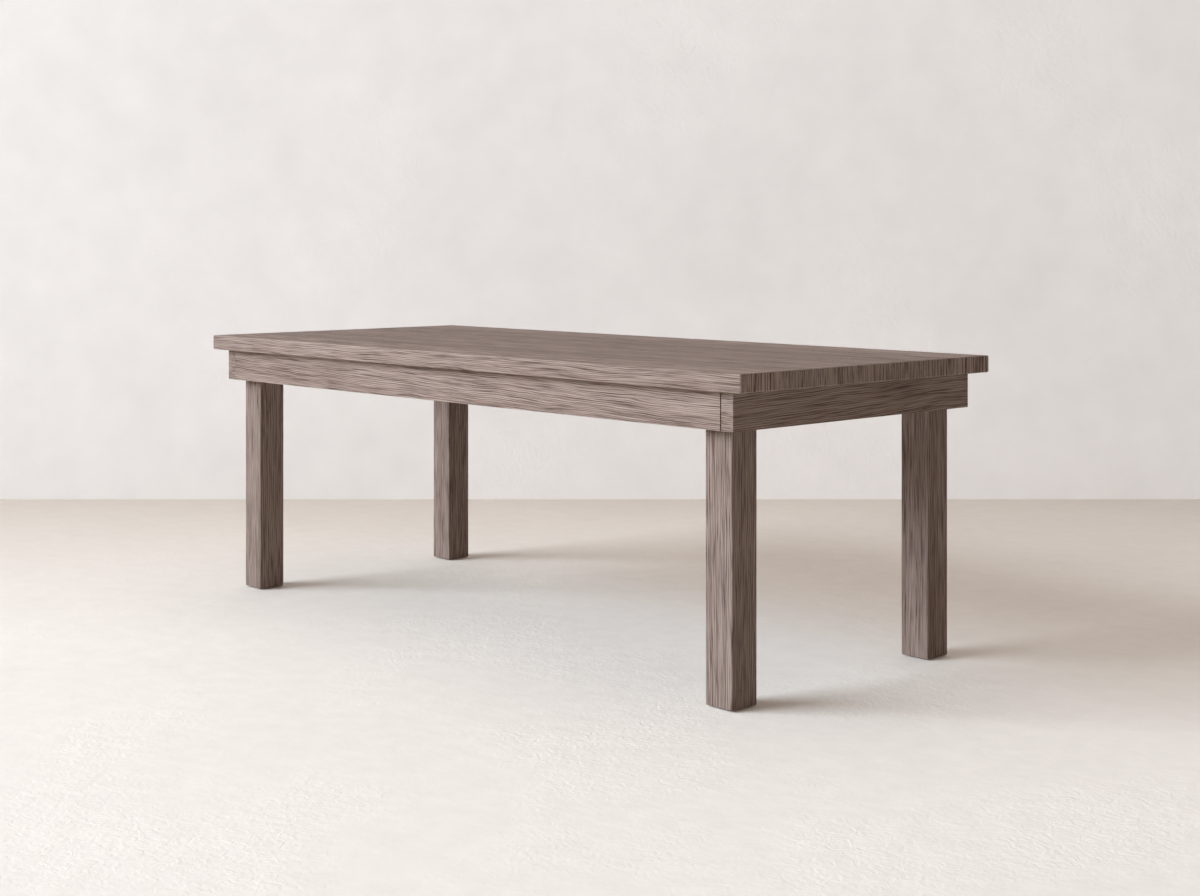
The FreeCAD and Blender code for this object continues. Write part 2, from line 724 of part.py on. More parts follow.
def make_table():
    for number in range(plank_count):
        make_plank(number)
    for number in range(plank_count - 1):
        make_spline(number)
    make_long_apron("front_apron", 0)
    make_end_apron("right_end_apron", 1)
    make_long_apron("back_apron", 2)
    make_end_apron("left_end_apron", 3)
    make_dowels()
    for position, station in zip(bearer_positions, bearer_stations):
        make_bearer(position, station)
    for quarters, corner in enumerate(CORNERS):
        make_leg(corner, quarters)
        make_corner_block(corner, quarters)
        make_glide(corner, quarters)
    make_block_screws()
    make_bolts()
    make_clips()
    make_bearer_screws()
    doc.recompute()


def check_table():
    """Stops if any object failed, or if a piece isn't made of sound solids."""
    for thing in doc.Objects:
        if {"Invalid", "Error"} & set(thing.State):
            raise RuntimeError(f"{thing.Label} failed")
    for name, piece in nodes.items():
        shape = piece.Shape
        if shape.isNull() or not shape.isValid() or not shape.Solids:
            raise RuntimeError(f"{name} has no sound solid")


def write_parts():
    os.makedirs("parts", exist_ok=True)
    for name, piece in nodes.items():
        piece.Shape.exportStep(f"parts/{name}.step")
        print(name, len(piece.Shape.Solids), round(piece.Shape.Volume))


make_table()
check_table()
write_parts()
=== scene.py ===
"""Farmhouse dining table in weathered oak: its boards, inner frame and hardware, and its pale room."""

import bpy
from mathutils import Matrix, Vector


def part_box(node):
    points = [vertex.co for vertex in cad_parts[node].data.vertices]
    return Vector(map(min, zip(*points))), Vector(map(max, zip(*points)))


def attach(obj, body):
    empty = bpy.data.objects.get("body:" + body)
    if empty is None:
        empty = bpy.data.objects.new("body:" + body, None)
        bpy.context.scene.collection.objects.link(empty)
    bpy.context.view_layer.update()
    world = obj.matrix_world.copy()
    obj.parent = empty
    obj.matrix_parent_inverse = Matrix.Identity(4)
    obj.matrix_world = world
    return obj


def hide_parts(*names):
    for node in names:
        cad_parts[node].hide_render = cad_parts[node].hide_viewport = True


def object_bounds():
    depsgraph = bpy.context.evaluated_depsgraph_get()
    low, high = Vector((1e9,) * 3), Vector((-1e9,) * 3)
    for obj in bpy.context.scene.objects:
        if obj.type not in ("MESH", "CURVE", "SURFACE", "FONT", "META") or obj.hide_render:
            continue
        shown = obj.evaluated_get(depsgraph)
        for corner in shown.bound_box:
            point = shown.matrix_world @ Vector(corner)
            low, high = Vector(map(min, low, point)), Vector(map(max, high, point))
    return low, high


bl_info = {
    "name": "Farmhouse dining table",
    "version": (1, 0, 0),
    "blender": (4, 5, 0),
    "location": "View3D > Sidebar > Table",
    "description": "Dresses the table's frame in wire-brushed oak, with its hardware and a pale room",
    "category": "Add Mesh",
}

import math
import random
from collections import namedtuple
from functools import partial

import bmesh
import bpy
from bpy.props import FloatProperty, FloatVectorProperty, PointerProperty
from bpy.types import Operator, Panel, PropertyGroup
from mathutils import Vector

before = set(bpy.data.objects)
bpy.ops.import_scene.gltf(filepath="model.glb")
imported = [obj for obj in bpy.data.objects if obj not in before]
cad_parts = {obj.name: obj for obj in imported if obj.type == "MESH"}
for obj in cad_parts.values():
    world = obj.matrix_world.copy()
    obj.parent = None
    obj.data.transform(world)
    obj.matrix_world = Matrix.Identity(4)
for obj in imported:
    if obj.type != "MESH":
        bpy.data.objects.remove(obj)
CAD_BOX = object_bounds()
BODY = "table"
CORNERS = ("front_left", "front_right", "back_right", "back_left")
X_AXIS, Y_AXIS, Z_AXIS = Vector((1, 0, 0)), Vector((0, 1, 0)), Vector((0, 0, 1))
QUARTER_TURN, EIGHTH_TURN = math.radians(90), math.radians(45)
SENSOR_WIDTH = 36

# Names of what is made once and shared, and the inputs of the tree of a board
OAK, ZINC = "weathered_oak_wire_brushed", "zinc_plated_steel_passivated"
BOARD, FASTENER = "eased_board", "threaded_fastener"
BOARD_VECTORS = ("Low corner", "High corner", "Rows")
BOARD_NUMBERS = ("End ease", "Low side ease", "High side ease", "Wander share", "Wander length", "Seed")

# Types of node, alone or with their operation
MATH, VECTORS = "ShaderNodeMath", "ShaderNodeVectorMath"
SUMS = ("ADD", "SUBTRACT", "MULTIPLY", "DIVIDE", "MULTIPLY_ADD")
PLUS, MINUS, TIMES, OVER, TIMES_PLUS = [(MATH, operation) for operation in SUMS]
VECTOR_PLUS, VECTOR_MINUS, VECTOR_TIMES, VECTOR_OVER, VECTOR_TIMES_PLUS = [
    (VECTORS, operation) for operation in SUMS]
ABOVE = (MATH, "GREATER_THAN")
NOISE, MIX, RANGE, RAMP = "ShaderNodeTexNoise", "ShaderNodeMix", "ShaderNodeMapRange", "ShaderNodeValToRGB"
COMBINE, SEPARATE, BUMP = "ShaderNodeCombineXYZ", "ShaderNodeSeparateXYZ", "ShaderNodeBump"
CUBE, CYLINDER, MOVE = "GeometryNodeMeshCube", "GeometryNodeMeshCylinder", "GeometryNodeTransform"
CUT, COMMON = ("GeometryNodeMeshBoolean", "DIFFERENCE"), ("GeometryNodeMeshBoolean", "INTERSECT")
SMOOTHLY = {"interpolation_type": "SMOOTHSTEP"}

# How a board was cut from the tree: the way its fibres and its rings' depth run, which way the lines on its
# sawn ends are spaced (none where the ends show the rings as the sides do), the fibres' slope, how far they
# wander, how pale the board is painted (on the top and the aprons this is painted light and painted shade),
# and how many times shorter and finer than on the other boards its lines are
Grain = namedtuple("Grain", "fibre ring end_ring slope figure tone shortness fineness", defaults=(1, 1, 1))


# Values that a user would change


def linear(code):
    """The linear red, green and blue of an sRGB hex colour."""
    shares = [int(code[place:place + 2], 16) / 255 for place in (1, 3, 5)]
    return tuple(s / 12.92 if s <= 0.04045 else ((s + 0.055) / 1.055) ** 2.4 for s in shares)


def number(name, description, default, **more):
    """A plain number, or one whose range and unit are given."""
    return FloatProperty(name=name, description=description, default=default, **more)


def length(name, description, default):
    """A length in metres."""
    return number(name, description, default, subtype="DISTANCE", unit="LENGTH")


def share(name, description, default):
    """A share from 0 to 1."""
    return number(name, description, default, min=0, max=1, subtype="FACTOR")


def power(name, description, default):
    """The power of a light in watts."""
    return number(name, description, default, subtype="POWER", unit="POWER")


def spot(name, description, default):
    """A place in metres."""
    return FloatVectorProperty(name=name, description=description, default=default, subtype="TRANSLATION",
                               unit="LENGTH")


def colour(name, description, code):
    """A colour, whose default is an sRGB hex value."""
    return FloatVectorProperty(name=name, description=description, default=linear(code), min=0, max=1,
                               size=3, subtype="COLOR")


class TableBoards(PropertyGroup):
    """How the boards' edges were eased and how tightly they meet."""
    front_ease: length("Front ease", "Rounding of the top's front edge", 0.003)
    end_ease: length("End ease", "Rounding of the top's ends", 0.0035)
    back_ease: length("Back ease", "Rounding of the top's back edge", 0.007)
    seam_ease: length("Seam ease", "Rounding of a plank's edge along a glued seam", 0.0003)
    apron_ease: length("Apron ease", "Rounding of the aprons' arrises", 0.0009)
    open_joint: length("Open joint", "Line left open where the right end apron laps the long ones", 0.0028)
    tight_joint: length("Tight joint", "Line left where the left end apron laps the long ones", 0.0002)
    shadow_gap: length("Shadow gap", "Open line between the aprons and the top", 0.0018)
    leg_ease: length("Leg ease", "Rounding of the legs' arrises", 0.0025)
    wander_share: share("Ease wander", "How far an ease made by hand wanders from its size", 0.25)
    wander_length: length("Wander length", "Length over which a hand-made ease wanders", 0.045)
    station: length("Station", "Spacing of the cross-sections along a board", 0.025)


class TableOak(PropertyGroup):
    """Colours and grain size of the weathered oak."""
    light: colour("Light wood", "Dry, limed wood between the growth rings", "#9b8a80")
    middle: colour("Middle wood", "Main tone of the wood", "#7a665d")
    dark: colour("Dark wood", "Wood along the growth rings", "#4c3c35")
    pore: colour("Pores", "Brushed-out pores", "#362a24")
    ring_spacing: length("Ring spacing", "Distance between growth rings", 0.0044)


class TableHardware(PropertyGroup):
    """Sizes of the fasteners and of what is cut for them, as they are in the CAD model."""
    head_diameter: length("Screw head", "Diameter of a screw's head", 0.009)
    head_height: length("Head height", "Height of a screw's head", 0.003)
    screw_diameter: length("Screw thread", "Diameter of a screw's thread", 0.0045)
    screw_pitch: length("Screw pitch", "Pitch of a screw's thread, drawn coarser than the real 2 mm", 0.003)
    recess_width: length("Recess", "Width of a screw's cross recess", 0.0011)
    bolt_diameter: length("Bolt", "Diameter of a hanger bolt", 0.008)
    bolt_pitch: length("Bolt pitch", "Pitch of a hanger bolt, drawn coarser than the real 1.25 mm", 0.002)
    washer_diameter: length("Washer", "Diameter of a washer", 0.022)
    washer_thickness: length("Washer thickness", "Thickness of a washer", 0.0016)
    nut_width: length("Nut width", "Width of a nut across its flats", 0.013)
    nut_height: length("Nut height", "Height of a nut", 0.0065)
    bore: length("Bore", "Hole in a nut or washer", 0.0082)
    leg_cut: length("Leg cut", "How far a leg's inner corner is cut back for its block", 0.022)
    leg_cut_height: length("Leg cut height", "Height of the cut at a leg's top", 0.0745)
    foot_recess: length("Foot recess", "Diameter of the recess that a glide's pad draws up into", 0.0346)
    foot_recess_top: length("Recess top", "Height of that recess's ceiling above the floor", 0.0126)
    foot_bore: length("Foot bore", "Diameter of the bore for the insert and the stem", 0.0131)
    foot_bore_top: length("Bore top", "Height of that bore's end above the floor", 0.0495)


class TableRoom(PropertyGroup):
    """The camera, the room and its light."""
    camera_place: spot("Camera place", "Where the camera stands", (3.6620, -3.3045, 1.0402))
    camera_heading: number("Camera heading", "Turn of the level camera from +Y", math.radians(46.8096),
                           subtype="ANGLE", unit="ROTATION")
    camera_lens: number("Lens", "Focal length in millimetres on a 36 mm wide sensor", 53.968)
    camera_shift: number("Shift", "Downward shift of the lens, in image widths", 0.1747)
    wall_distance: length("Wall distance", "From the camera to the wall, along its heading", 7.176)
    room_width: length("Room width", "Width of the floor and the wall", 40)
    wall_height: length("Wall height", "Height of the wall", 9)
    floor: colour("Floor", "Pale screed", "#e8e1d9")
    # Painted shade: the floor is painted darker along the foot of the wall
    painted_floor_shade: colour("Floor by the wall", "Painted shade along the foot of the wall", "#c7bcb1")
    painted_shade_reach: length("Shaded floor", "How far from the wall the floor is darker", 2.6)
    wall: colour("Wall", "Limewashed plaster", "#dedad7")
    wall_glow: number("Wall glow", "Light that the wall gives back from lamps of its own", 0.28)
    floor_glow: number("Floor glow", "Light that the floor gives back from lamps all round", 0.045)
    key_place: spot("Key light", "Where the soft key light hangs", (-14.4, -17.2, 11.2))
    key_width: length("Key width", "Width of the soft key light", 25)
    key_height: length("Key height", "Height of the soft key light", 12)
    key_tint: colour("Key tint", "Cool daylight", "#e7f3ff")
    key_power: power("Key power", "Strength of the key light", 15400)
    fill_place: spot("Fill light", "Where the soft fill light hangs", (0.6, -0.2, 6))
    fill_width: length("Fill width", "Side of the square soft fill light", 6)
    fill_power: power("Fill power", "Strength of the fill light", 76)
    sky: colour("Room light", "Light that fills the room from all round", "#f8e3d2")
    sky_strength: number("Room light strength", "Strength of the light all round", 0.18)


# Node trees and meshes


def add(tree, kind, *values, stops=(), **settings):
    """Adds a node, sets it, and fills its inputs with plain values or other nodes' outputs. kind is a type of
    node, or a type with its operation. The values stand in the order of the inputs, or one dict holds them by
    name or number, and a list links several to one input."""
    if isinstance(kind, tuple):
        kind, settings["operation"] = kind
    made = tree.nodes.new(kind)
    for name, value in settings.items():
        setattr(made, name, value)
    inputs = values[0] if values and isinstance(values[0], dict) else dict(enumerate(values))
    for name, value in inputs.items():
        for item in value if isinstance(value, list) else [value]:
            if isinstance(item, bpy.types.Node):
                item = next(output for output in item.outputs if output.enabled)
            if isinstance(item, bpy.types.NodeSocket):
                tree.links.new(item, made.inputs[name])
            else:
                made.inputs[name].default_value = item
    for position, (place, tone) in enumerate(stops):
        elements = made.color_ramp.elements
        element = elements[position] if position < len(elements) else elements.new(place)
        element.position = place
        element.color = (*tone, 1)
    return made


def new_material(name):
    """An empty node material, and the function that adds nodes to it."""
    material = bpy.data.materials.new(name)
    material.use_nodes = True
    material.node_tree.nodes.clear()
    return material, partial(add, material.node_tree)


def end_material(node, base, relief, gloss, **more):
    """Ends a material in a shader with this colour, relief and roughness."""
    shader = node("ShaderNodeBsdfPrincipled", {
        "Base Color": base, "Normal": relief, "Roughness": gloss, **more})
    node("ShaderNodeOutputMaterial", {"Surface": shader})


def per_metre(*lengths):
    """Pattern scales that make one wave of a pattern as long as each length in millimetres."""
    return tuple(1000 / millimetres for millimetres in lengths)


def new_tree(name, numbers, vectors=(), counts=()):
    """A geometry node tree with named inputs, the function that adds nodes to it, and its inputs' sockets."""
    tree = bpy.data.node_groups.new(name, "GeometryNodeTree")
    inputs = {"Geometry": ["Geometry"], "Float": numbers, "Vector": vectors, "Int": counts}
    for kind, labels in inputs.items():
        for label in labels:
            tree.interface.new_socket(label, in_out="INPUT", socket_type="NodeSocket" + kind)
    tree.interface.new_socket("Geometry", in_out="OUTPUT", socket_type="NodeSocketGeometry")
    node = partial(add, tree)
    return tree, node, node("NodeGroupInput").outputs


def end_tree(node, geometry, material):
    """Makes the tree's instances real, gives them their material and ends the tree."""
    real = node("GeometryNodeRealizeInstances", geometry)
    dressed = node("GeometryNodeSetMaterial", {"Geometry": real, "Material": material})
    node("NodeGroupOutput", dressed)


def put(name, data):
    """A new object in the scene, which holds a mesh, a light or a camera."""
    made = bpy.data.objects.new(name, data)
    bpy.context.scene.collection.objects.link(made)
    return made


def grow(name, seeds, tree, values):
    """Runs a node tree on a mesh of seed points and keeps the result as a piece with a plain mesh."""
    piece = put(name, seeds)
    modifier = piece.modifiers.new("grow", "NODES")
    modifier.node_group = tree
    for item in tree.interface.items_tree:
        if item.in_out == "INPUT" and item.name in values:
            modifier[item.identifier] = values[item.name]
    graph = bpy.context.evaluated_depsgraph_get()
    mesh = bpy.data.meshes.new_from_object(piece.evaluated_get(graph), depsgraph=graph)
    piece.modifiers.remove(modifier)
    piece.data = mesh
    if not mesh.polygons:
        raise RuntimeError(f"{name} came out empty")
    mesh.name = name
    return piece


def give(piece, slot, *nodes):
    """Hands a finished piece to the table's fixed body in place of its CAD nodes."""
    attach(piece, BODY)
    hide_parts(*nodes)


def named(start):
    """The names of the CAD nodes that begin so, in order."""
    return sorted(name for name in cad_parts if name.startswith(start))


def dress(material, *nodes):
    """Gives CAD nodes that keep their own shape a material."""
    for name in nodes:
        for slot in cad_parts[name].material_slots:
            slot.material = material


# Materials


def weathered_oak():
    """Oak, sawn, wire-brushed and limed: thin dark lines where the soft spring wood of each growth ring was
    brushed out, which wander and break along the grain, whitened wood between them, a dry surface with little
    gloss and arrises painted paler, for wear and as a painted highlight. It is made once."""
    if OAK in bpy.data.materials:
        return bpy.data.materials[OAK]
    oak = bpy.context.scene.table_oak
    ring_bow, line_edges, pore_edges = 2.4, (0.26, 0.05), (0.44, 0.32)
    line_share, pore_share = 0.86, 0.6
    patch_share, band_share, fine_line_share, darkening = 0.2, 0.3, 1.2, -0.27
    material, node = new_material(OAK)
    grain, sawn, figure, arris, end_grain, board = [
        node("ShaderNodeAttribute", attribute_name=name).outputs[output] for output, names in (
            ("Vector", ("grain", "sawn")), ("Fac", ("figure", "arris", "end_grain", "tone")))
        for name in names]

    def streaks(place, sizes, detail, rough=0.5):
        """Noise with waves of these millimetres along the grain, across the rings and along the rings."""
        scaled = node(VECTOR_TIMES, place, per_metre(*sizes))
        return node(NOISE, {"Vector": scaled, "Scale": 1, "Detail": detail, "Roughness": rough})

    # The fibres wander from side to side, in long, middle and short waves
    flow = grain
    for sizes, sway in (((650, 120, 120), 0.014), ((170, 44, 44), 0.010), ((60, 18, 18), 0.0025)):
        push = node(VECTOR_MINUS, streaks(grain, sizes, 1).outputs["Color"], (0.5, 0.5, 0.5))
        push = node(VECTOR_TIMES, push, (0, sway, sway))
        push = node((VECTORS, "SCALE"), {0: push, 3: figure})
        flow = node(VECTOR_PLUS, flow, push)

    # Growth rings, bowed round the heart of the tree. Each one's spring wood was brushed out to its own
    # depth, and the line that is left fades and comes back along the grain
    across, through = node(SEPARATE, flow).outputs[1:]
    bow = node(TIMES, through, through)
    bowed = node(TIMES_PLUS, bow, ring_bow, across)
    rings = node(OVER, bowed, oak.ring_spacing)
    away = node((MATH, "PINGPONG"), rings, 0.5)
    line = node(RANGE, away, *line_edges, **SMOOTHLY)
    ring_number = node((MATH, "ROUND"), rings)
    luck = node("ShaderNodeTexWhiteNoise", {"W": ring_number}, noise_dimensions="1D")
    depth = node(RANGE, luck, 0, 1, 0.5, 1)
    fade = node(RANGE, streaks(flow, (90, 3.2, 40), 2), 0.25, 0.6, 0.3, 1, **SMOOTHLY)
    line = node(TIMES, line, depth)
    brushed = node(TIMES, line, fade)

    # Lines of pores, drawn coarser than real ones, which are a third of a millimetre wide, so that they show.
    # On the sawn ends they run along the rings
    side_lines = streaks(flow, (120, 1.7, 40), 2, 0.55)
    end_lines = streaks(sawn, (60, 3.2, 110), 3, 0.6)
    end_lines = node(TIMES_PLUS, end_lines, 1.7, -0.36)
    lines = node(MIX, {0: end_grain, 2: side_lines, 3: end_lines})
    pores = node(RANGE, lines, *pore_edges, **SMOOTHLY)

    # The tone of the wood, in patches, in bands along the board and in fine lines
    tone = node(TIMES_PLUS, streaks(flow, (300, 30, 30), 2), patch_share, darkening)
    tone = node(TIMES_PLUS, streaks(grain, (1400, 45, 45), 2), band_share, tone)
    tone = node(TIMES_PLUS, lines, fine_line_share, tone)
    wood = node(RAMP, tone, stops=((0.1, oak.dark), (0.42, oak.middle), (0.75, oak.light))).outputs[0]

    # Brushed lines darken the sides, pores darken every face, and the arrises are painted paler, for wear and
    # as a painted highlight along the eased edges
    in_line = node(MINUS, line_share, end_grain)
    in_line = node(TIMES, brushed, in_line, use_clamp=True)
    in_pore = node(TIMES, pores, pore_share)
    arris_wear_and_highlight_share = node(RANGE, streaks(grain, (60, 9, 9), 2), 0.4, 0.6, 0.1, 0.45, **SMOOTHLY)
    arris_wear_and_highlight = node(TIMES, arris, arris_wear_and_highlight_share)
    for part, tint in ((in_line, oak.dark), (in_pore, oak.pore), (arris_wear_and_highlight, oak.light)):
        wood = node(MIX, {0: part, 6: wood, 7: (*tint, 1)}, data_type="RGBA").outputs[2]
    # Each board's tone makes it paler or darker: on the top and the aprons this is painted light and painted
    # shade
    wood = node("ShaderNodeHueSaturation", {"Value": board, "Color": wood})

    height = node(TIMES_PLUS, pores, -0.8, lines)
    height = node(TIMES_PLUS, brushed, -1, height)
    relief = node(BUMP, {"Strength": 0.7, "Distance": 0.0006, "Height": height})
    gloss = node(RANGE, tone, 0.3, 0.9, 0.8, 0.64)
    end_material(node, wood, relief, gloss, **{"Specular IOR Level": 0.1})
    return material


def planed_beech(run, turn):
    """Beech, planed and left bare on the hidden frame: even and pinkish, with short fine flecks between faint
    bands along the grain. The grain runs as the name in run says, turned from the Y axis by turn. The flecks
    are drawn at twice their real width, so that they show."""
    material, node = new_material("beech_planed_bare_" + run)
    place = node("ShaderNodeTexCoord").outputs["Object"]
    place = node("ShaderNodeMapping", {"Vector": place, "Rotation": (0, 0, -turn)})
    flecks, bands, clouds = [
        node(NOISE, {"Vector": node(VECTOR_TIMES, place, per_metre(*sizes)), "Scale": 1, "Detail": 2})
        for sizes in ((1.2, 7, 1.2), (7, 260, 7), (60, 90, 60))]
    mixed = node(TIMES_PLUS, flecks, 0.9, bands)
    mixed = node(TIMES_PLUS, clouds, 0.5, mixed)
    tint = node(RANGE, mixed, 0.85, 1.55)
    wood = node(RAMP, tint, stops=(
        (0, linear("#8b6c55")), (0.45, linear("#ab8d74")), (1, linear("#bea48c"))))
    relief = node(BUMP, {"Strength": 0.3, "Distance": 0.0002, "Height": flecks})
    end_material(node, wood, relief, node(RANGE, clouds, 0, 1, 0.55, 0.75))
    return material


def speckled(name, colours, speck, roughness, depth, metallic=0):
    """A hard material whose colour and gloss change in specks of a size in millimetres and in wide clouds."""
    cloud = speck * 9
    material, node = new_material(name)
    place = node("ShaderNodeTexCoord").outputs["Object"]
    specks, clouds = [node(NOISE, {"Vector": place, "Scale": scale, "Detail": detail})
                      for scale, detail in zip(per_metre(speck, cloud), (3, 2))]
    mixed = node(RANGE, node(PLUS, specks, clouds), 0.65, 1.35)
    last = len(colours) - 1
    tint = node(RAMP, mixed, stops=[(step / last, linear(code)) for step, code in enumerate(colours)])
    relief = node(BUMP, {"Strength": 0.4, "Distance": depth, "Height": specks})
    end_material(node, tint, relief, node(RANGE, mixed, 0, 1, *roughness), Metallic=metallic)
    return material


def zinc_plated_steel():
    """Steel, zinc-plated and passivated: pale grey metal, satin, with a faint yellow and blue bloom. The
    grain of the plating is drawn at 0.7 mm, coarser than it is, so that it shows. It is made once."""
    return bpy.data.materials.get(ZINC) or speckled(
        ZINC, ("#9a9a9c", "#b4b3ae", "#bfc3c8"), 0.7, (0.42, 0.26), 0.00003, metallic=1)


def turned_brass():
    """Brass, turned and left bare: yellow metal, dulled in clouds, with a soft gloss."""
    return speckled(
        "brass_turned", ("#8f7440", "#b4944f", "#cbb06c"), 0.9, (0.45, 0.24), 0.00002, metallic=1)


def moulded_nylon():
    """Nylon, moulded in a spark-eroded tool: near black, with an even fine grain and a low sheen."""
    return speckled("nylon_moulded_black", ("#171615", "#201f1d", "#2b2927"), 0.6, (0.62, 0.44), 0.00004)


def room_plaster(name, base, cloud_sizes, mark_size, contrast, glow, shade=None):
    """Limewash or pale screed, trowelled by hand: matt, with faint clouds and small curved trowel marks in
    places, and clear from behind. Sizes are in millimetres. shade is a second, darker colour that takes over
    along a direction, between two places on it, as painted shade."""
    material, node = new_material(name)
    place = node("ShaderNodeTexCoord").outputs["Object"]
    large, small = [node(NOISE, {"Vector": place, "Scale": scale, "Detail": 4})
                    for scale in per_metre(*cloud_sizes)]
    value = node(RANGE, node(PLUS, large, small), 0.6, 1.4, 1 - contrast, 1 + contrast)
    base = (*base, 1)
    # Painted shade: the second, darker colour takes over along the direction
    if shade:
        tone, direction, start, end = shade
        reach = node((VECTORS, "DOT_PRODUCT"), place, direction).outputs["Value"]
        blend = node(RANGE, reach, start, end)
        base = node(MIX, {0: blend, 6: base, 7: (*tone, 1)}, data_type="RGBA").outputs[2]
    tinted = node("ShaderNodeHueSaturation", {"Value": value, "Color": base})
    marks = node(NOISE, {"Vector": place, "Scale": per_metre(mark_size)[0], "Detail": 2, "Distortion": 1.6})
    marked = node(RANGE, large, 0.47, 0.6, 0.1, 0.8)
    height = node(TIMES_PLUS, marks, marked, small)
    relief = node(BUMP, {"Strength": 0.4, "Distance": 0.004, "Height": height})
    shader = node("ShaderNodeBsdfPrincipled", {
        "Base Color": tinted, "Normal": relief, "Roughness": 0.9, "Specular IOR Level": 0.1,
        "Emission Color": tinted, "Emission Strength": glow})
    back = node("ShaderNodeNewGeometry").outputs["Backfacing"]
    seen = node("ShaderNodeMixShader", back, shader, node("ShaderNodeBsdfTransparent"))
    node("ShaderNodeOutputMaterial", {"Surface": seen})
    return material


# Boards


def board_tree():
    """A box whose edges are all eased: rows of points near each edge are drawn round it, by a radius that
    wanders. The ends have one radius, and each long side has its own, because a glued seam is left nearly
    sharp. It is made once."""
    if BOARD in bpy.data.node_groups:
        return bpy.data.node_groups[BOARD]
    tree, node, given = new_tree(BOARD, BOARD_NUMBERS, BOARD_VECTORS)
    none, halves, ones, round_rows, eighth_turns = [(value,) * 3 for value in (0, 0.5, 1, 6, EIGHTH_TURN)]
    end_margin_share = 0.01
    box = node(CUBE, (2, 2, 2), *node(SEPARATE, given["Rows"]).outputs)
    unit = node("GeometryNodeInputPosition")
    away = node((VECTORS, "ABSOLUTE"), unit)
    side = node((VECTORS, "SIGN"), unit)
    half, middle = [node(VECTOR_TIMES, node(kind, given["High corner"], given["Low corner"]), halves)
                    for kind in (VECTOR_MINUS, VECTOR_PLUS)]

    # The last three rows at each edge make its round, and the rows between them lie flat
    gaps = node(VECTOR_MINUS, given["Rows"], ones)
    round_share = node(VECTOR_OVER, round_rows, gaps)
    round_start = node(VECTOR_MINUS, ones, round_share)
    flat = node(VECTOR_OVER, away, round_start)
    flat = node((VECTORS, "MINIMUM"), flat, ones)
    past = node(VECTOR_MINUS, away, round_start)
    past = node(VECTOR_OVER, past, round_share)
    turn = node((VECTORS, "MAXIMUM"), past, none)
    turn = node(VECTOR_TIMES, turn, eighth_turns)
    lean = node((VECTORS, "TANGENT"), turn)
    outward = node(VECTOR_TIMES, side, lean)
    outward = node((VECTORS, "NORMALIZE"), outward)

    # The radius at each point, which wanders with the place on the board
    place = node(VECTOR_TIMES, unit, half)
    place = node(VECTOR_OVER, place, given["Wander length"])
    place = node(VECTOR_PLUS, place, given["Seed"])
    noise = node(NOISE, {"Vector": place, "Scale": 1, "Detail": 1})
    swing = node(TIMES_PLUS, noise, 2, -1)
    growth = node(TIMES_PLUS, swing, given["Wander share"], 1)
    unit_y = node(SEPARATE, unit).outputs[1]
    past_x = node(SEPARATE, past).outputs[0]
    high = node(ABOVE, unit_y, 0)
    long_ease = node(MIX, {0: high, 2: given["Low side ease"], 3: given["High side ease"]})
    at_end = node(ABOVE, past_x, end_margin_share)
    flat_ease = node(MIX, {0: at_end, 2: long_ease, 3: given["End ease"]})
    radii = node(COMBINE, given["End ease"], long_ease, flat_ease)
    radii = node(VECTOR_TIMES, radii, growth)

    inner = node(VECTOR_MINUS, half, radii)
    drawn = node(VECTOR_TIMES, side, flat)
    drawn = node(VECTOR_TIMES_PLUS, drawn, inner, middle)
    drawn = node(VECTOR_TIMES_PLUS, radii, outward, drawn)
    end_tree(node, node("GeometryNodeSetPosition", {"Geometry": box, "Position": drawn}), weathered_oak())
    return tree


def leg_tree():
    """An eased board stood on end, its inner corner cut back at the top for the block, and its foot bored for
    the glide. Foot and Cut corner are points on the leg's foot and at its top."""
    tree, node, given = new_tree(
        "carved_leg", vectors=(*BOARD_VECTORS, "Foot", "Cut corner"),
        numbers=(*BOARD_NUMBERS, "Recess", "Recess height", "Bore", "Bore height", "Cut width", "Cut height"))
    post = node("GeometryNodeGroup", {name: given[name] for name in BOARD_VECTORS + BOARD_NUMBERS},
                node_tree=board_tree())
    cutters = []
    for width, height, sides in (("Recess", "Recess height", 48), ("Bore", "Bore height", 32)):
        radius = node(TIMES, given[width], 0.5)
        depth = node(TIMES, given[height], 2)
        drill = node(CYLINDER, {"Vertices": sides, "Radius": radius, "Depth": depth})
        cutters.append(node(MOVE, {"Geometry": drill, "Translation": given["Foot"]}))
    # A square turned by an eighth, whose corners reach as far along the leg's sides as the cut does
    side = node(TIMES, given["Cut width"], math.sqrt(2))
    depth = node(TIMES, given["Cut height"], 2)
    wedge = node(CUBE, node(COMBINE, side, side, depth))
    cutters.append(node(MOVE, {"Geometry": wedge, "Translation": given["Cut corner"],
                               "Rotation": (0, 0, EIGHTH_TURN)}))
    end_tree(node, node(CUT, {"Mesh 1": post, "Mesh 2": cutters}, solver="EXACT"), weathered_oak())
    return tree


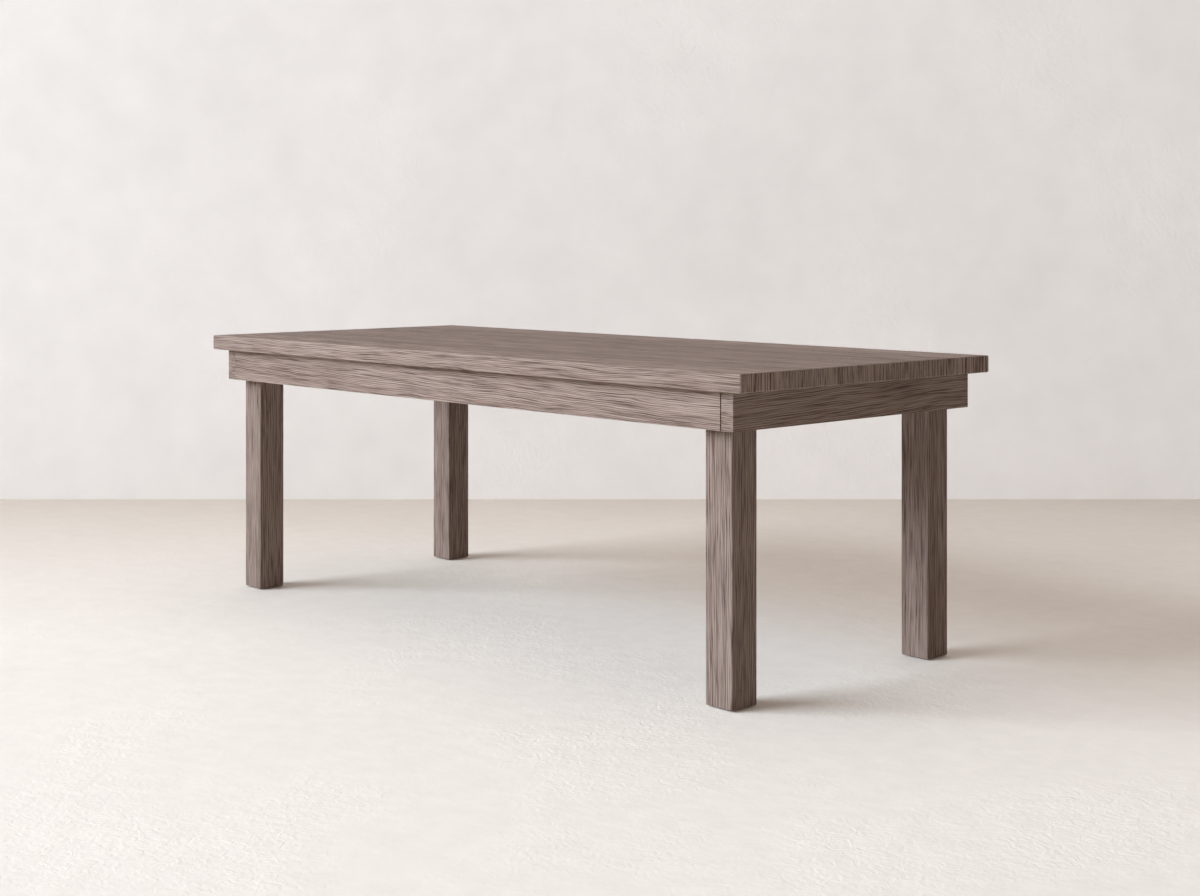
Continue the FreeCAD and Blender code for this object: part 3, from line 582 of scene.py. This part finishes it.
def mark_grain(piece, low, high, ease, grain, seed):
    """Writes what the oak reads: each point's place along the grain and across the rings, its place on the
    sawn ends, how near it is to an arris, whether its face shows end grain, and the board's tone, which on
    the top and the aprons is painted light and painted shade, and its figure. Faces that are flat are shaded
    flat."""
    pale_arris_share, end_facing_share, flat_facing_share, largest_round_area = 0.7, 0.7, 0.999, 4e-5
    shifts, tones = ((5, 50), (5, 50), (-0.01, 0.01)), (0.98, 1.02)
    draw = random.Random(seed)
    shift = Vector([draw.uniform(*limits) for limits in shifts])
    tone = grain.tone * draw.uniform(*tones)
    mesh = piece.data
    end_ring = grain.end_ring or grain.ring
    heart, end_heart = grain.fibre.cross(grain.ring), grain.fibre.cross(end_ring)
    middle = (low + high) / 2
    for kind, domain, *names in (("FLOAT_VECTOR", "POINT", "grain", "sawn"), ("FLOAT", "POINT", "arris"),
                                 ("FLOAT", "FACE", "end_grain", "tone", "figure")):
        for name in names:
            mesh.attributes.new(name, kind, domain)
    layers = {layer.name: layer.data for layer in mesh.attributes}
    for point, place, end_place, edge in zip(mesh.vertices, layers["grain"], layers["sawn"], layers["arris"]):
        offset = point.co - middle
        along = offset.dot(grain.fibre)
        across = (offset.dot(grain.ring) + grain.slope * along) * grain.fineness
        place.vector = Vector((along * grain.shortness, across, offset.dot(heart) * grain.fineness)) + shift
        end_place.vector = Vector((along, offset.dot(end_ring), offset.dot(end_heart))) + shift
        depths = sorted(min(point.co[axis] - low[axis], high[axis] - point.co[axis]) for axis in range(3))
        edge.value = min(1, max(0, (ease - depths[1]) / (ease * pale_arris_share)))
    for face, end, own, wild in zip(mesh.polygons, layers["end_grain"], layers["tone"], layers["figure"]):
        end.value = 1 if grain.end_ring and abs(face.normal.dot(grain.fibre)) > end_facing_share else 0
        own.value = tone
        wild.value = grain.figure
        leans = max(abs(part) for part in face.normal) < flat_facing_share
        face.use_smooth = leans and face.area < largest_round_area


def make_board(tree, node, eases, grain, seed, end_gaps=(0, 0), top_gap=0, **more):
    """One eased board in the place of a CAD node. eases are its end, low side and high side radii, the gaps
    are how far its ends and its top stay short of what they meet, and more holds the tree's other inputs."""
    boards = bpy.context.scene.table_boards
    low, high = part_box(node)
    low += grain.fibre * end_gaps[0]
    high -= grain.fibre * end_gaps[1] + Z_AXIS * top_gap
    rounding_rows = 8
    rows = [float(rounding_rows + int(side / boards.station)) for side in high - low]
    values = dict(zip(BOARD_VECTORS, (tuple(low), tuple(high), rows)))
    values.update(zip(BOARD_NUMBERS, (*eases, boards.wander_share, boards.wander_length, float(seed))))
    piece = grow("oak_" + node, bpy.data.meshes.new("seed"), tree, values | more)
    mark_grain(piece, low, high, eases[0], grain, seed)
    return piece


class TABLE_OT_top(Operator):
    """Seven oak planks glued edge to edge, eased only round the outside of the finished top"""
    bl_idname = "table.top"
    bl_label = "Top planks"

    def execute(self, context):
        first_seed, slope, figure = 11, 0.006, 0.9
        # The rings of the outer planks lean, so that their edges show lines as their faces do
        outer_lean, inner_lean = math.radians(58), math.radians(12)
        # The outer planks, which hold the top's front and back edges, are painted lighter and the inner ones
        # darker: painted light on the edges and painted shade on the top's face
        outer_plank_painted_light, inner_plank_painted_shade = 1.05, 0.94
        boards = context.scene.table_boards
        planks = named("top_plank_")
        last = len(planks) - 1
        for position, node in enumerate(planks):
            low_side = boards.front_ease if position == 0 else boards.seam_ease
            high_side = boards.back_ease if position == last else boards.seam_ease
            lean, tone = (outer_lean, outer_plank_painted_light) if position in (0, last) else (inner_lean, inner_plank_painted_shade)
            ring = Y_AXIS * math.cos(lean) + Z_AXIS * math.sin(lean)
            grain = Grain(X_AXIS, ring, Y_AXIS, slope * (-1) ** position, figure, tone)
            eases = (boards.end_ease, low_side, high_side)
            give(make_board(board_tree(), node, eases, grain, first_seed + position), "top_oak", node)
        return {"FINISHED"}


class TABLE_OT_aprons(Operator):
    """Four oak aprons, the end ones lapping over the ends of the long ones"""
    bl_idname = "table.aprons"
    bl_label = "Aprons"

    def execute(self, context):
        # The long aprons' tone paints them lighter than the end ones: painted light
        first_seed, long_apron_painted_light, figure = 31, 1.1, 1
        boards = context.scene.table_boards
        eases = [boards.apron_ease] * 3
        long_one = (X_AXIS, long_apron_painted_light, (boards.tight_joint, boards.open_joint))
        end_one = (Y_AXIS, 1, (0, 0))
        aprons = (("front_apron", 0.02, long_one), ("back_apron", -0.02, long_one),
                  ("left_end_apron", 0.02, end_one), ("right_end_apron", -0.03, end_one))
        for seed, (node, slope, (fibre, tone, gaps)) in enumerate(aprons, first_seed):
            grain = Grain(fibre, Z_AXIS, None, slope, figure, tone)
            piece = make_board(board_tree(), node, eases, grain, seed, gaps, boards.shadow_gap)
            give(piece, "apron_oak", node)
        return {"FINISHED"}


class TABLE_OT_legs(Operator):
    """Four square oak legs, cut rift so that straight grain shows on every side"""
    bl_idname = "table.legs"
    bl_label = "Legs"

    def execute(self, context):
        first_seed = 41
        eases = [context.scene.table_boards.leg_ease] * 3
        sizes = context.scene.table_hardware
        tree = leg_tree()
        for position, corner in enumerate(CORNERS):
            node = "leg_" + corner
            low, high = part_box(node)
            foot = ((low.x + high.x) / 2, (low.y + high.y) / 2, low.z)
            inner_corner = (min(low.x, high.x, key=abs), min(low.y, high.y, key=abs), high.z)
            carving = {
                "Foot": foot, "Recess": sizes.foot_recess, "Recess height": sizes.foot_recess_top - low.z,
                "Bore": sizes.foot_bore, "Bore height": sizes.foot_bore_top - low.z,
                "Cut corner": inner_corner, "Cut width": sizes.leg_cut, "Cut height": sizes.leg_cut_height}
            ring = (X_AXIS + Y_AXIS * (-1) ** position).normalized()
            grain = Grain(Z_AXIS, ring, ring, slope=0.01, figure=0.4, tone=0.98, shortness=1.3, fineness=1.15)
            give(make_board(tree, node, eases, grain, first_seed + position, **carving), "leg_oak", node)
        return {"FINISHED"}


# Inner frame and hardware


class TABLE_OT_inner_frame(Operator):
    """The hidden frame of bearers, corner blocks, splines and dowels"""
    bl_idname = "table.inner_frame"
    bl_label = "Inner frame"

    def execute(self, context):
        right_blocks = ("corner_block_front_right", "corner_block_back_left")
        left_blocks = ("corner_block_front_left", "corner_block_back_right")
        dress(planed_beech("across", 0), *named("cross_bearer_"))
        dress(planed_beech("lengthwise", QUARTER_TURN), *named("plank_spline_"), "apron_dowels")
        dress(planed_beech("aslant_right", -EIGHTH_TURN), *right_blocks)
        dress(planed_beech("aslant_left", EIGHTH_TURN), *left_blocks)
        return {"FINISHED"}


def solids(node):
    """The separate solids of a CAD node, each as a list of its points."""
    same_place = 1e-6
    copy = bmesh.new()
    copy.from_mesh(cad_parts[node].data)
    bmesh.ops.remove_doubles(copy, verts=copy.verts, dist=same_place)
    copy.verts.index_update()
    seen, found = set(), []
    for start in copy.verts:
        if start.index in seen:
            continue
        seen.add(start.index)
        queue, points = [start], []
        while queue:
            point = queue.pop()
            points.append(point.co.copy())
            near = [edge.other_vert(point) for edge in point.link_edges]
            fresh = [other for other in near if other.index not in seen]
            seen.update(other.index for other in fresh)
            queue += fresh
        found.append(points)
    copy.free()
    return found


def middle_of(points):
    """The middle of the box round some points."""
    return Vector([(min(places) + max(places)) / 2 for places in zip(*points)])


def screw_axis(points):
    """The way that a screw points, from its head to its tip."""
    head_width_share = 0.9
    spans = [max(places) - min(places) for places in zip(*points)]
    along = spans.index(max(spans))
    middle = middle_of(points)
    others = [axis for axis in range(3) if axis != along]
    widths = [math.hypot(*(p[axis] - middle[axis] for axis in others)) for p in points]
    head = [p[along] for p, width in zip(points, widths) if width > head_width_share * max(widths)]
    way = Vector((0, 0, 0))
    way[along] = 1 if sum(head) / len(head) < middle[along] else -1
    return way


def inward_axis(points):
    """The way that a hanger bolt's nut comes off, from a corner of the table to its middle."""
    middle = middle_of(points)
    return Vector((-math.copysign(1, middle.x), -math.copysign(1, middle.y), 0)).normalized()


def outward_axis(points):
    """The way that a hanger bolt goes into its leg."""
    return -inward_axis(points)


def seed_points(node, axis_of):
    """A mesh with one point where each of a CAD node's solids begins, which carries the way the solid points,
    and the length of the solids."""
    starts, axes, lengths = [], [], []
    for points in solids(node):
        axis = axis_of(points)
        middle = middle_of(points)
        reaches = [(p - middle).dot(axis) for p in points]
        starts.append(middle + axis * min(reaches))
        axes.append(axis)
        lengths.append(max(reaches) - min(reaches))
    seeds = bpy.data.meshes.new("seeds")
    seeds.from_pydata(starts, [], [])
    layer = seeds.attributes.new("axis", "FLOAT_VECTOR", "POINT")
    for item, axis in zip(layer.data, axes):
        item.vector = axis
    return seeds, max(lengths)


def set_out(node, given, fastener):
    """Puts a zinc-plated fastener on every seed point, turned along its axis, with its sharp edges kept, and
    ends the tree."""
    sharpest_smooth = math.radians(34)
    axis = node("GeometryNodeInputNamedAttribute", {"Name": "axis"}, data_type="FLOAT_VECTOR")
    turn = node("FunctionNodeAlignRotationToVector", {"Vector": axis.outputs["Attribute"]}, axis="Z")
    smooth = node("GeometryNodeSetShadeSmooth", {"Geometry": fastener, "Shade Smooth": True}, domain="FACE")
    angle = node("GeometryNodeInputMeshEdgeAngle").outputs["Unsigned Angle"]
    sharp = node(ABOVE, angle, sharpest_smooth)
    crisp = node("GeometryNodeSetShadeSmooth", {
        "Geometry": smooth, "Selection": sharp, "Shade Smooth": False}, domain="EDGE")
    end_tree(node, node("GeometryNodeInstanceOnPoints", {
        "Points": given["Geometry"], "Instance": crisp, "Rotation": turn}), zinc_plated_steel())


def threaded_tree():
    """A turned fastener on each seed point: a domed head, with a cross recess where it has a width, a helical
    thread and a point. It starts as a cylinder of rows, and each row is drawn to its height and radius. It is
    made once."""
    if FASTENER in bpy.data.node_groups:
        return bpy.data.node_groups[FASTENER]
    tree, node, given = new_tree(FASTENER, counts=("Rows",), numbers=(
        "Head diameter", "Head height", "Thread diameter", "Length", "Pitch", "Recess width"))
    head_share, head_margin_share, flat_share, thread_depth_share = 0.15, 0.001, 0.66, 0.4
    finest_point_share, recess_reach_share, recess_depth_share = 0.06, 0.56, 1.2
    rod = node(CYLINDER, {"Vertices": 18, "Side Segments": given["Rows"], "Radius": 1, "Depth": 1})
    x, y, z = node(SEPARATE, node("GeometryNodeInputPosition")).outputs
    row = node(PLUS, z, 0.5)
    in_head = node(RANGE, row, 0, head_share)
    in_shank = node(RANGE, row, head_share, 1)
    shank = node(MINUS, given["Length"], given["Head height"])
    height = node(TIMES, in_head, given["Head height"])
    height = node(TIMES_PLUS, in_shank, shank, height)

    # The head's dome is a quarter of an ellipse round a flat
    from_rim = node(MINUS, 1, in_head)
    squared = node(TIMES, from_rim, from_rim)
    dome = node((MATH, "SQRT"), node(MINUS, 1, squared))
    dome = node(TIMES_PLUS, dome, 1 - flat_share, flat_share)
    head_width = node(TIMES, dome, given["Head diameter"])

    # The thread climbs one pitch in each turn, and the shank ends in a point as long as the thread is wide
    turn = node((MATH, "ARCTAN2"), y, x)
    climb = node(OVER, height, given["Pitch"])
    climb = node(TIMES_PLUS, turn, 1 / math.tau, climb)
    valley = node((MATH, "PINGPONG"), climb, 0.5)
    ridge = node(TIMES_PLUS, valley, -thread_depth_share, 1)
    to_tip = node(MINUS, given["Length"], height)
    taper = node(OVER, to_tip, given["Thread diameter"])
    taper = node("ShaderNodeClamp", taper, finest_point_share, 1)
    thread_width = node(TIMES, ridge, given["Thread diameter"])
    thread_width = node(TIMES, thread_width, taper)
    past_head = node(ABOVE, row, head_share + head_margin_share)
    width = node(MIX, {0: past_head, 2: head_width, 3: thread_width})
    radius = node(TIMES, width, 0.5)
    drawn = node(COMBINE, node(TIMES, x, radius), node(TIMES, y, radius), height)
    turned = node("GeometryNodeSetPosition", {"Geometry": rod, "Position": drawn})

    # Two crossed slots make the recess
    reach = node(TIMES, given["Head diameter"], recess_reach_share)
    sink = node(TIMES, given["Head height"], recess_depth_share)
    slots = [node(CUBE, node(COMBINE, *sides, sink))
             for sides in ((reach, given["Recess width"]), (given["Recess width"], reach))]
    recessed = node(CUT, {"Mesh 1": turned, "Mesh 2": slots}, solver="EXACT")
    has_recess = node(ABOVE, given["Recess width"], 0)
    set_out(node, given, node("GeometryNodeSwitch", {
        "Switch": has_recess, "False": turned, "True": recessed}, input_type="GEOMETRY"))
    return tree


def nut_tree():
    """A hexagon nut on each seed point, its corners turned off top and bottom, with a bore."""
    tree, node, given = new_tree("hexagon_nut", ("Width", "Height", "Bore"))
    ball_width_share, ball_height_share = 0.595, 0.922
    rise = node(COMBINE, {2: node(TIMES, given["Height"], 0.5)})
    corner = node(TIMES, given["Width"], 1 / math.sqrt(3))
    prism = node(CYLINDER, {"Vertices": 6, "Radius": corner, "Depth": given["Height"]})
    # A flattened ball just wider than the corners turns them off down to the flats
    ball_radius = node(TIMES, given["Width"], ball_width_share)
    ball = node("GeometryNodeMeshUVSphere", {"Segments": 48, "Rings": 32, "Radius": ball_radius})
    squat = node(OVER, given["Height"], ball_radius)
    squat = node(TIMES, squat, ball_height_share)
    ball = node(MOVE, {"Geometry": ball, "Scale": node(COMBINE, 1, 1, squat)})
    blank = node(COMMON, {"Mesh 2": [prism, ball]}, solver="EXACT")
    bore_radius = node(TIMES, given["Bore"], 0.5)
    drill_depth = node(TIMES, given["Height"], 2)
    drill = node(CYLINDER, {"Vertices": 32, "Radius": bore_radius, "Depth": drill_depth})
    bored = node(CUT, {"Mesh 1": blank, "Mesh 2": drill}, solver="EXACT")
    set_out(node, given, node(MOVE, {"Geometry": bored, "Translation": rise}))
    return tree


def washer_tree():
    """A stamped washer on each seed point: a flat ring with softened edges."""
    tree, node, given = new_tree("stamped_washer", ("Diameter", "Thickness", "Bore"))
    soft_edge_share = 0.2
    middle_radius = node(TIMES, node(PLUS, given["Diameter"], given["Bore"]), 0.25)
    band = node(TIMES, node(MINUS, given["Diameter"], given["Bore"]), 0.5)
    ring = node("GeometryNodeCurvePrimitiveCircle", {"Resolution": 48, "Radius": middle_radius})
    section = node("GeometryNodeCurvePrimitiveQuadrilateral", {"Width": band, "Height": given["Thickness"]})
    soft = node(TIMES, given["Thickness"], soft_edge_share)
    section = node("GeometryNodeFilletCurve", {"Curve": section, "Count": 2, "Radius": soft}, mode="POLY")
    stamped = node("GeometryNodeCurveToMesh", {"Curve": ring, "Profile Curve": section})
    rise = node(COMBINE, {2: node(TIMES, given["Thickness"], 0.5)})
    set_out(node, given, node(MOVE, {"Geometry": stamped, "Translation": rise}))
    return tree


def fasten(node, axis_of, tree, values):
    """Fasteners in the place of a CAD node's solids, as long as they are."""
    seeds, long = seed_points(node, axis_of)
    give(grow("zinc_" + node, seeds, tree, {"Length": long, **values}), "zinc_steel", node)


class TABLE_OT_screws(Operator):
    """Zinc-plated pan-head screws in the corner blocks, the clips and the bearers"""
    bl_idname = "table.screws"
    bl_label = "Screws"

    def execute(self, context):
        sizes = context.scene.table_hardware
        for node, rows in (("corner_block_screws", 60), ("top_clip_screws", 60), ("bearer_screws", 100)):
            fasten(node, screw_axis, threaded_tree(), {
                "Head diameter": sizes.head_diameter, "Head height": sizes.head_height,
                "Thread diameter": sizes.screw_diameter, "Pitch": sizes.screw_pitch,
                "Recess width": sizes.recess_width, "Rows": rows})
        return {"FINISHED"}


class TABLE_OT_hanger_bolts(Operator):
    """Hanger bolts through the corner blocks, with their washers and nuts"""
    bl_idname = "table.hanger_bolts"
    bl_label = "Hanger bolts"

    def execute(self, context):
        dome_share = 0.25
        sizes = context.scene.table_hardware
        fasten("hanger_bolts", outward_axis, threaded_tree(), {
            "Head diameter": sizes.bolt_diameter, "Head height": sizes.bolt_diameter * dome_share,
            "Thread diameter": sizes.bolt_diameter, "Pitch": sizes.bolt_pitch,
            "Recess width": 0.0, "Rows": 240})
        fasten("hanger_washers", inward_axis, washer_tree(), {
            "Diameter": sizes.washer_diameter, "Thickness": sizes.washer_thickness, "Bore": sizes.bore})
        fasten("hanger_nuts", inward_axis, nut_tree(), {
            "Width": sizes.nut_width, "Height": sizes.nut_height, "Bore": sizes.bore})
        return {"FINISHED"}


class TABLE_OT_clips_and_glides(Operator):
    """Bent steel clips that hold the top, and the glides with their brass inserts"""
    bl_idname = "table.clips_and_glides"
    bl_label = "Clips and glides"

    def execute(self, context):
        dress(zinc_plated_steel(), "top_clips", *named("glide_stem_"))
        dress(turned_brass(), *named("glide_insert_"))
        dress(moulded_nylon(), *named("glide_pad_"))
        return {"FINISHED"}


# Room, light and camera


def flat_sheet(name, foot, reach, near, far, material):
    """A flat sheet to both sides of the wall's foot, from near to far, that isn't part of the table."""
    corners = [foot - reach + near, foot + reach + near, foot + reach + far, foot - reach + far]
    mesh = bpy.data.meshes.new(name)
    mesh.from_pydata(corners, [], [(0, 1, 2, 3)])
    mesh.materials.append(material)
    sheet = put(name, mesh)


def soft_light(name, place, width, height, strength, tint):
    """A large flat light that faces the middle of the table."""
    lamp = bpy.data.lights.new(name, "AREA")
    lamp.shape = "RECTANGLE"
    lamp.size = width
    lamp.size_y = height
    lamp.energy = strength
    lamp.color = tint
    light = put(name, lamp)
    light.location = place
    aim = Vector((0, 0, CAD_BOX[1][2] / 2)) - light.location
    light.rotation_euler = aim.to_track_quat("-Z", "Y").to_euler()


class TABLE_OT_room(Operator):
    """A pale floor and wall, soft light from the front left, and a level camera"""
    bl_idname = "table.room"
    bl_label = "Room, light and camera"

    def execute(self, context):
        room = context.scene.table_room
        heading = room.camera_heading
        forward = Vector((-math.sin(heading), math.cos(heading), 0))
        right = Vector((math.cos(heading), math.sin(heading), 0))
        stand = Vector(room.camera_place)
        foot = Vector((stand.x, stand.y, 0)) + forward * room.wall_distance
        reach = right * room.room_width / 2
        plaster = room_plaster("limewashed_plaster", room.wall, cloud_sizes=(900, 160), mark_size=45,
                               contrast=0.045, glow=room.wall_glow)
        flat_sheet("wall", foot, reach, Vector((0, 0, 0)), Z_AXIS * room.wall_height, plaster)
        wall_place = foot.dot(forward)
        # Painted shade: the floor is painted darker along the foot of the wall
        shade = (room.painted_floor_shade, forward, wall_place - room.painted_shade_reach, wall_place)
        screed = room_plaster("pale_screed_trowelled", room.floor, cloud_sizes=(700, 70), mark_size=26,
                              contrast=0.04, glow=room.floor_glow, shade=shade)
        far = forward * room.room_width / 2
        flat_sheet("floor", foot, reach, -far, far, screed)

        camera = put("camera", bpy.data.cameras.new("camera"))
        camera.location = stand
        camera.rotation_euler = (QUARTER_TURN, 0, heading)
        camera.data.sensor_fit = "HORIZONTAL"
        camera.data.sensor_width = SENSOR_WIDTH
        camera.data.lens = room.camera_lens
        camera.data.shift_y = -room.camera_shift
        context.scene.camera = camera

        soft_light("key_light", room.key_place, room.key_width, room.key_height, room.key_power,
                   room.key_tint)
        soft_light("fill_light", room.fill_place, room.fill_width, room.fill_width, room.fill_power, room.sky)

        # Light from all round, and a pale backdrop where another view looks past the wall
        world = bpy.data.worlds.new("room_light")
        world.use_nodes = True
        world.node_tree.nodes.clear()
        node = partial(add, world.node_tree)
        glow = node("ShaderNodeBackground", {"Color": (*room.sky, 1), "Strength": room.sky_strength})
        backdrop = node("ShaderNodeBackground", {"Color": (*room.wall, 1)})
        by_camera = node("ShaderNodeLightPath").outputs["Is Camera Ray"]
        node("ShaderNodeOutputWorld", {"Surface": node("ShaderNodeMixShader", by_camera, glow, backdrop)})
        context.scene.world = world
        # A plain display transform keeps the pale room as pale as it is painted
        context.scene.view_settings.view_transform = "Standard"
        return {"FINISHED"}


OPERATORS = (TABLE_OT_top, TABLE_OT_aprons, TABLE_OT_legs, TABLE_OT_inner_frame, TABLE_OT_screws,
             TABLE_OT_hanger_bolts, TABLE_OT_clips_and_glides, TABLE_OT_room)


class TABLE_PT_panel(Panel):
    """Lists the table's pieces and its room"""
    bl_idname = "TABLE_PT_panel"
    bl_label = "Farmhouse table"
    bl_space_type = "VIEW_3D"
    bl_region_type = "UI"
    bl_category = "Table"

    def draw(self, context):
        for operator in OPERATORS:
            self.layout.operator(operator.bl_idname)


GROUPS = {"table_boards": TableBoards, "table_oak": TableOak, "table_hardware": TableHardware,
          "table_room": TableRoom}


def register():
    for group in (*GROUPS.values(), *OPERATORS, TABLE_PT_panel):
        bpy.utils.register_class(group)
    for name, group in GROUPS.items():
        setattr(bpy.types.Scene, name, PointerProperty(type=group))


def unregister():
    for name in GROUPS:
        delattr(bpy.types.Scene, name)
    for group in (TABLE_PT_panel, *reversed(OPERATORS), *GROUPS.values()):
        bpy.utils.unregister_class(group)


def main():
    register()
    for operator in OPERATORS:
        group, name = operator.bl_idname.split(".")
        getattr(getattr(bpy.ops, group), name)()


if __name__ == "__main__":
    main()
